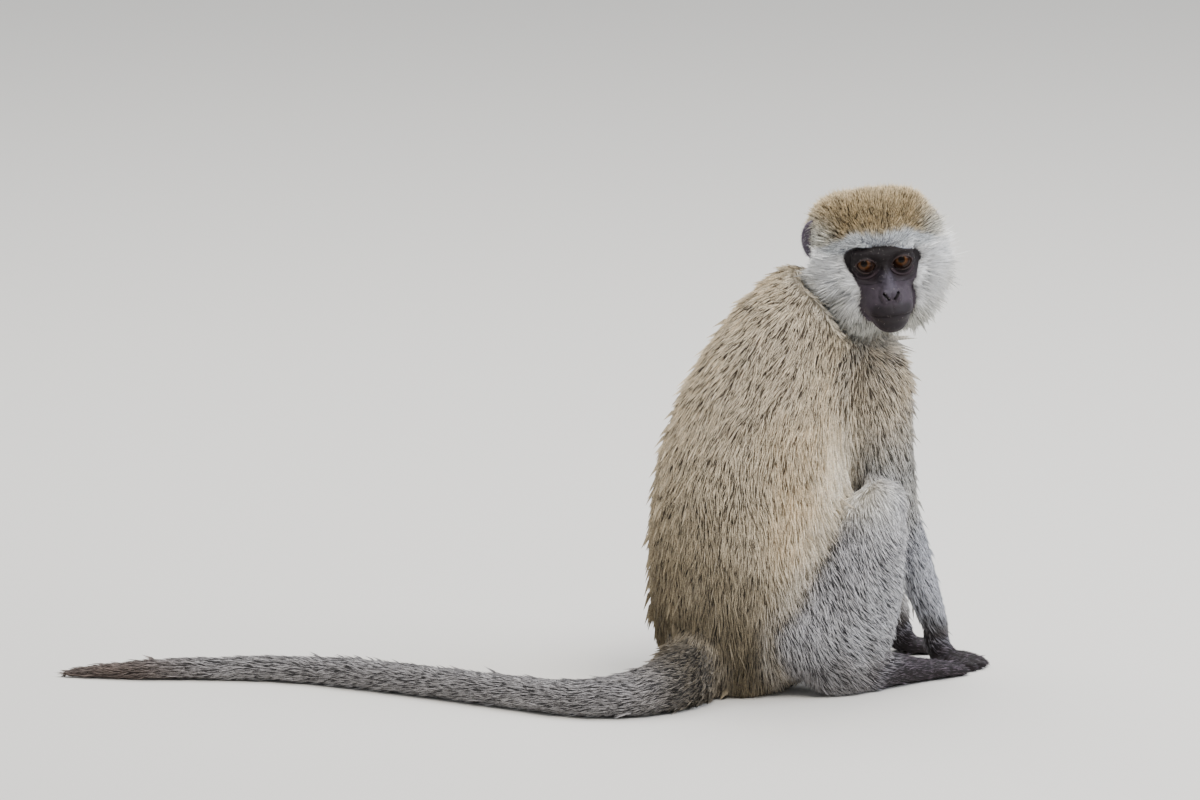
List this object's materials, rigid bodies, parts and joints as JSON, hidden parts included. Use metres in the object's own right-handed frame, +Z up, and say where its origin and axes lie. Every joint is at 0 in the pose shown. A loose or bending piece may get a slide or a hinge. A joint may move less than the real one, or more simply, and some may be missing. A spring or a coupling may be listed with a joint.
{
  "type": "vervet monkey",
  "caption": "Life-size still model of a vervet monkey sitting on the floor, looking back over its right shoulder, its tail laid on the floor behind.",
  "frame": {"origin": "on the floor under the seat, in the animal's middle plane at the hips", "axes": "+X forward from the hips to the knees, +Y to the animal's left, +Z up; the head is turned back over the right shoulder and the tail is laid out behind"},
  "size_m": [0.6431, 0.4466, 0.3961],
  "materials": {
    "body_fur": "grizzled buff and grey fur",
    "crown_fur": "golden-brown crown with white cheeks",
    "grey_fur": "grizzled grey fur",
    "tail_tip_fur": "dark brown fur",
    "dark_paw": "black-brown skin with short hair",
    "ear_skin": "dark grey bare skin",
    "eye": "glossy amber-brown eye"
  },
  "bodies": {
    "root": {"head": "crown_fur", "neck": "body_fur", "trunk": "body_fur", "ear_right": "ear_skin", "ear_left": "ear_skin", "eye_right": "eye", "eye_left": "eye", "thigh_right": "body_fur", "shin_right": "grey_fur", "foot_right": "dark_paw", "upper_arm_right": "body_fur", "forearm_right": "grey_fur", "hand_right": "dark_paw", "thigh_left": "body_fur", "shin_left": "grey_fur", "foot_left": "dark_paw", "upper_arm_left": "body_fur", "forearm_left": "grey_fur", "hand_left": "dark_paw", "tail_1": "grey_fur", "tail_2": "grey_fur", "tail_3": "grey_fur", "tail_4": "grey_fur", "tail_5": "tail_tip_fur"}
  },
  "joints": []
}
